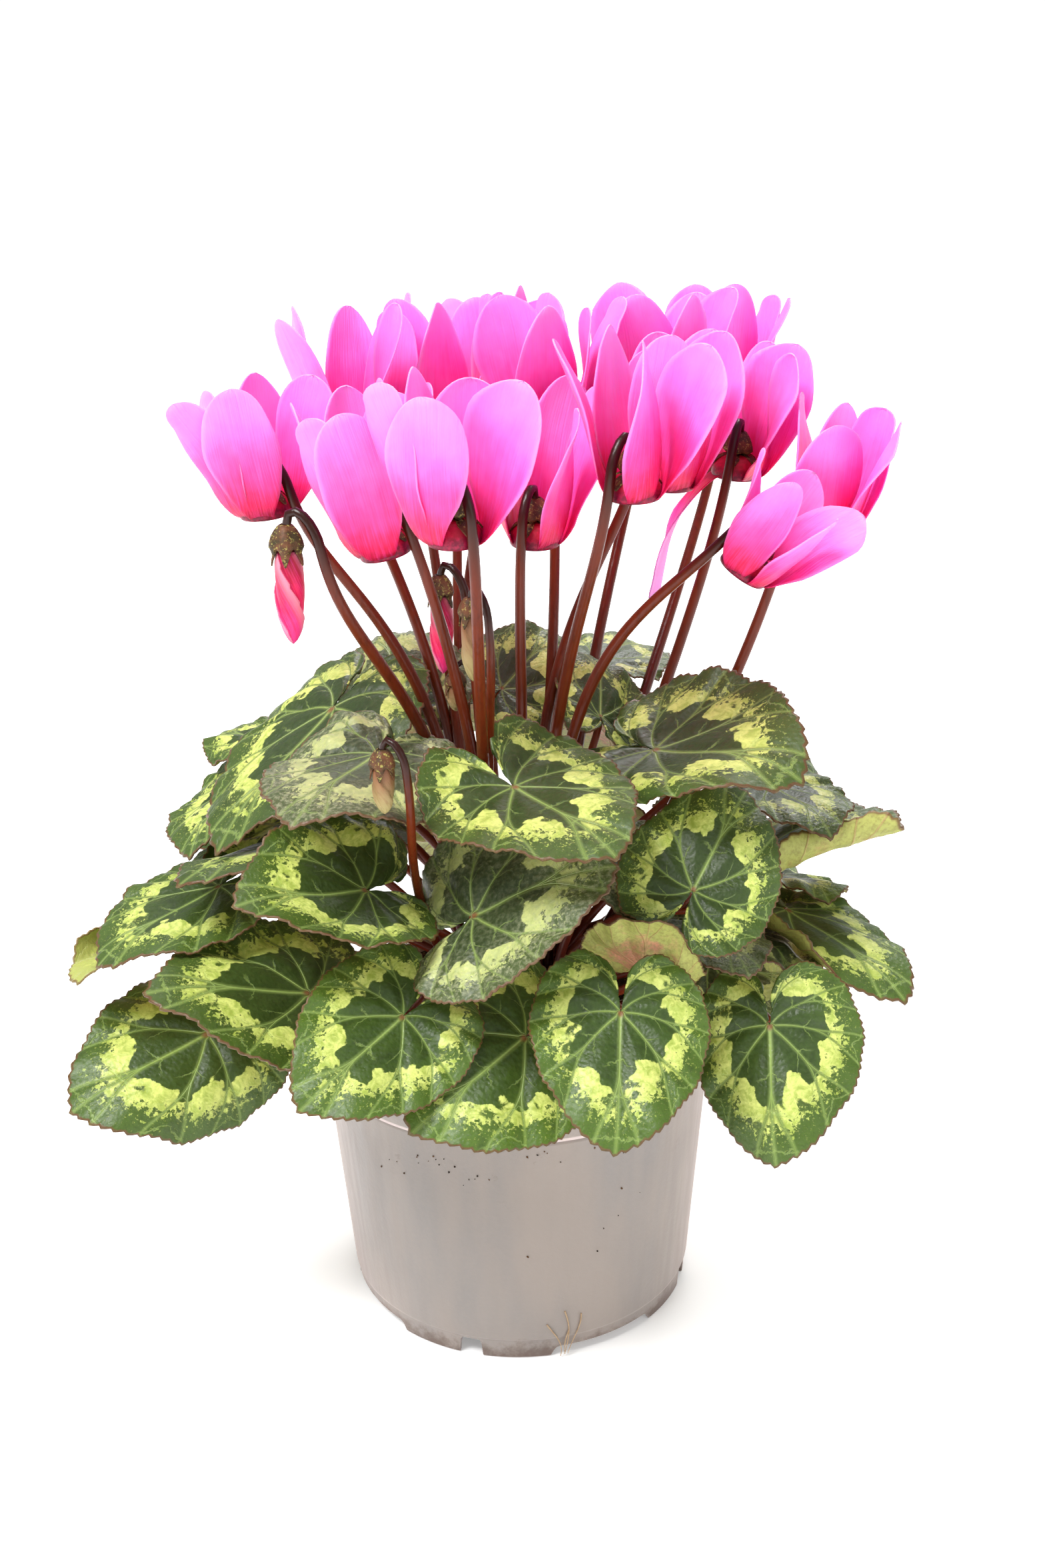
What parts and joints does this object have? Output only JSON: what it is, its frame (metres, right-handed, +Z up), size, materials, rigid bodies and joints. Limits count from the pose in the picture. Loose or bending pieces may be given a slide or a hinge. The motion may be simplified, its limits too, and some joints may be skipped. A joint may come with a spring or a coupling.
{
  "type": "potted cyclamen",
  "caption": "Potted cyclamen: marbled heart-shaped leaves and reflexed pink flowers in a thin plastic pot.",
  "frame": {"origin": "middle of the pot's underside, in the plane of the surface that it stands on", "axes": "+Z up through the pot, -Y towards the front of the plant, +X to the right seen from the front"},
  "size_m": [0.2284, 0.2069, 0.2835],
  "materials": {
    "pot_plastic": "thin, slightly translucent grey-taupe plastic with a soft sheen",
    "soil": "loose dark peat with fibres and pale crumbs",
    "crown": "smooth red-brown stalks and a rough brown tuber",
    "leaf": "leathery green blades, marbled pale green",
    "petal": "thin translucent pink petals, deeper at the mouth"
  },
  "bodies": {
    "root": {"pot": "pot_plastic", "soil": "soil", "crown": "crown", "bud_left": "petal", "bud_centre": "petal", "leaf_back_low_a": "leaf", "leaf_back_low_b": "leaf", "leaf_back_low_c": "leaf", "leaf_back_low_d": "leaf", "leaf_back_high_a": "leaf", "leaf_back_high_b": "leaf", "leaf_back_high_c": "leaf", "leaf_back_high_d": "leaf", "leaf_left_back": "leaf", "leaf_left_curl": "leaf", "leaf_left_yellow": "leaf", "leaf_left_low": "leaf", "leaf_left_edge": "leaf", "leaf_left_front": "leaf", "leaf_deep": "leaf", "leaf_front_under": "leaf", "leaf_front_left": "leaf", "leaf_front_right": "leaf", "leaf_right_bright": "leaf", "leaf_right_edge": "leaf", "leaf_right_curl": "leaf", "leaf_right_fold": "leaf", "leaf_right_under": "leaf", "leaf_right_low": "leaf", "leaf_front_dark": "leaf", "leaf_front_flip": "leaf", "leaf_right_round": "leaf", "leaf_left_under": "leaf", "leaf_left_mid": "leaf", "leaf_front_mid": "leaf", "leaf_right_top": "leaf", "leaf_front_top": "leaf", "leaf_left_tall": "leaf", "leaf_left_top": "leaf", "leaf_back_left": "leaf", "leaf_back_mid": "leaf", "leaf_back_right": "leaf", "leaf_mid_small": "leaf", "leaf_right_deep": "leaf", "bloom_far_left": "petal", "bloom_upper_left": "petal", "bloom_left_front": "petal", "bloom_left_mid": "petal", "bloom_front": "petal", "bloom_centre": "petal", "bloom_mid_right": "petal", "bloom_right_in": "petal", "bloom_right_high": "petal", "bloom_low_right": "petal", "bloom_far_right": "petal", "bloom_back_a": "petal", "bloom_back_b": "petal", "bloom_back_c": "petal", "bloom_back_e": "petal", "bloom_back_f": "petal"}
  },
  "joints": []
}
